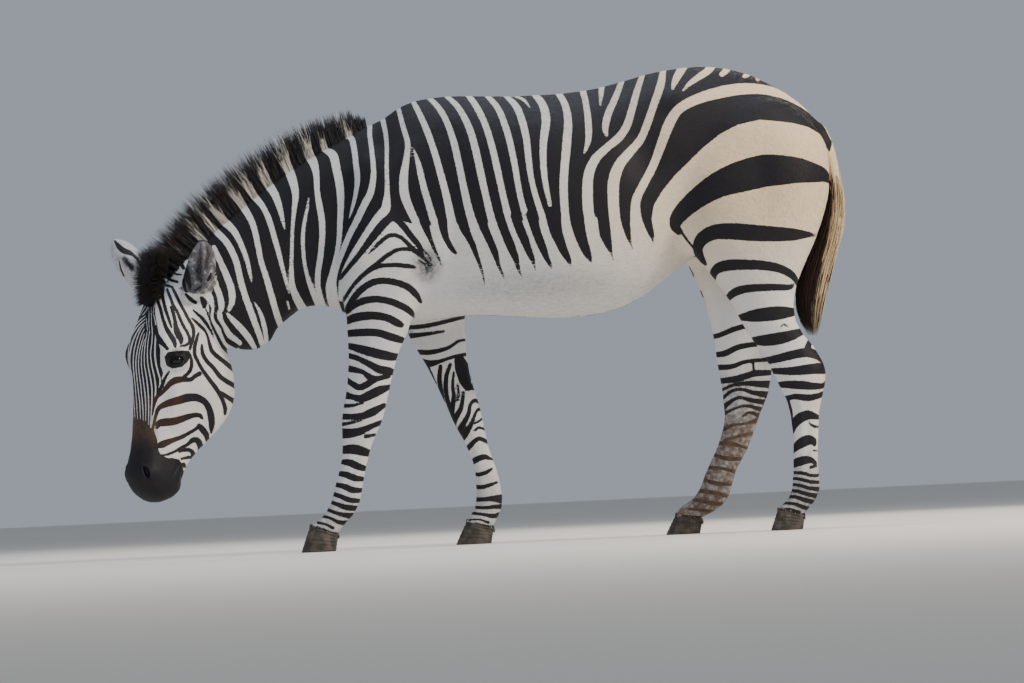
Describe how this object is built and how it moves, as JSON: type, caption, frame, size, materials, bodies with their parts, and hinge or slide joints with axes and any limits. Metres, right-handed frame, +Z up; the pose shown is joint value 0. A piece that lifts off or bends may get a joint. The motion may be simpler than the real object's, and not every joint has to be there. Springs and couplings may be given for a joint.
{
  "type": "hartmann's mountain zebra",
  "caption": "Life-size still model of a Hartmann's mountain zebra, grazing with its head low and turned to its left.",
  "frame": {"origin": "on the floor, at the middle of the animal's bounding box", "axes": "+X from head to tail, +Y to the animal's right side, +Z up"},
  "size_m": [2.1032, 0.5254, 1.3363],
  "materials": {
    "coat": "short flat coat, black stripes on off-white",
    "long_hair": "coarse long hair",
    "hoof_horn": "dry, dusty horn",
    "eye": "wet"
  },
  "bodies": {
    "root": {"trunk": "coat", "neck": "coat", "head": "coat", "ear_left": "coat", "ear_right": "coat", "leg_fore_left": "coat", "leg_fore_right": "coat", "leg_hind_left": "coat", "leg_hind_right": "coat", "tail_dock": "coat", "mane": "long_hair", "forelock": "long_hair", "tail_switch": "long_hair", "hoof_fore_left": "hoof_horn", "hoof_fore_right": "hoof_horn", "hoof_hind_left": "hoof_horn", "hoof_hind_right": "hoof_horn", "eye_left": "eye", "eye_right": "eye"}
  },
  "joints": []
}
